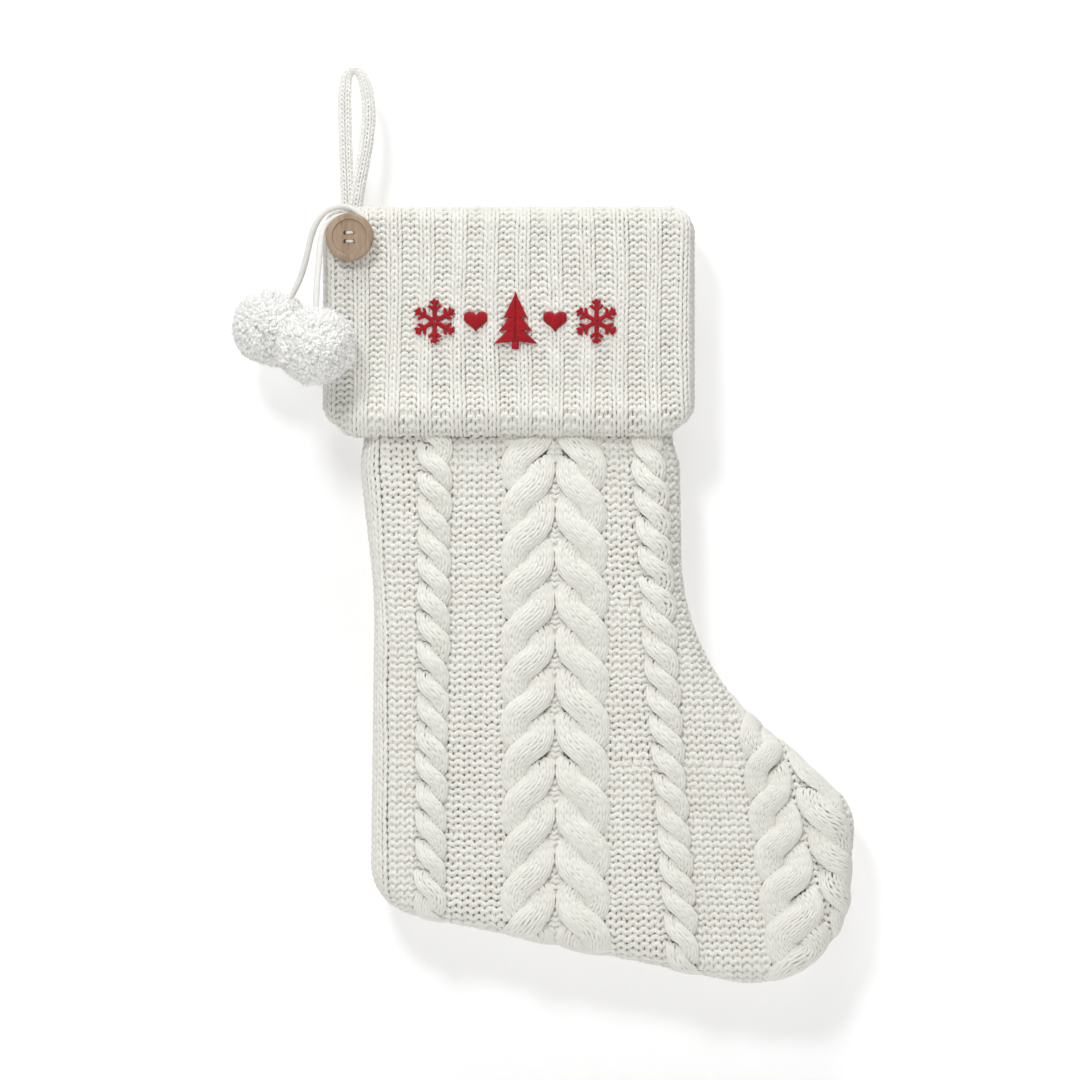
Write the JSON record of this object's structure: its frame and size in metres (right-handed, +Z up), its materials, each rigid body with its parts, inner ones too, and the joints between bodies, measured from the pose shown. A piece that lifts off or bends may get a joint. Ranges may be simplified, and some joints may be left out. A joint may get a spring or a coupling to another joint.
{
  "type": "hanging stocking",
  "caption": "Cable-knit hanging stocking with a turned-down rib cuff, hanging loop, wooden button, two yarn pompoms on cords and a raised stitched motif.",
  "frame": {"origin": "the point inside the hanging loop's eye that rests on a hook", "axes": "+Z up along the hanging stocking, -Y out of its front face, +X towards the toe"},
  "size_m": [0.3842, 0.1013, 0.5714],
  "materials": {
    "knit_ivory": "soft matt chunky knitted yarn",
    "lining_cotton": "plain woven cloth",
    "sewing_thread": "smooth sewing thread",
    "button_wood": "sanded pale wood, satin",
    "pompom_cord": "round braided cord",
    "pompom_yarn": "fluffy cut yarn",
    "embroidery_red": "glossy satin stitch"
  },
  "bodies": {
    "root": {"cuff_back_panel": "knit_ivory", "cuff_front_panel": "knit_ivory", "cuff_hem": "knit_ivory", "cuff_left_seam": "knit_ivory", "cuff_right_seam": "knit_ivory", "embroidery_backing": "lining_cotton", "embroidery_left_heart": "embroidery_red", "embroidery_left_snowflake": "embroidery_red", "embroidery_right_heart": "embroidery_red", "embroidery_right_snowflake": "embroidery_red", "embroidery_tree": "embroidery_red", "leg_back_panel": "knit_ivory", "leg_front_panel": "knit_ivory", "leg_side_seam": "knit_ivory", "lining_back_panel": "lining_cotton", "lining_front_panel": "lining_cotton", "lining_side_seam": "lining_cotton", "loop_sewn_ends": "knit_ivory", "loop_tack_stitches": "sewing_thread", "mouth_stitches": "sewing_thread"},
    "loop": {"hanging_loop": "knit_ivory"},
    "button": {"button": "button_wood", "button_thread": "sewing_thread"},
    "left_pompom": {"left_pompom_cord": "pompom_cord", "left_pompom": "pompom_yarn", "left_pompom_tie": "pompom_cord"},
    "right_pompom": {"right_pompom_cord": "pompom_cord", "right_pompom": "pompom_yarn", "right_pompom_tie": "pompom_cord"}
  },
  "joints": [
    {"name": "loop_fold", "type": "hinge", "parent": "root", "child": "loop", "pos_m": [0, 0, -0.0865], "axis": [1, 0, 0], "range_deg": [-20, 35], "stiffness_Nm_per_rad": 0.02},
    {"name": "button_turn", "type": "hinge", "parent": "root", "child": "button", "pos_m": [-0.0003, -0.0318, -0.1034], "axis": [-0.2079, -0.9781, 0], "range_deg": [-20, 20]},
    {"name": "left_pompom_swing", "type": "hinge", "parent": "root", "child": "left_pompom", "pos_m": [0.007, -0.0279, -0.0916], "axis": [0, 1, 0], "range_deg": [-3, 50]},
    {"name": "right_pompom_swing", "type": "hinge", "parent": "root", "child": "right_pompom", "pos_m": [-0.0024, -0.027, -0.0896], "axis": [-1, 0, 0], "range_deg": [0, 60]}
  ]
}
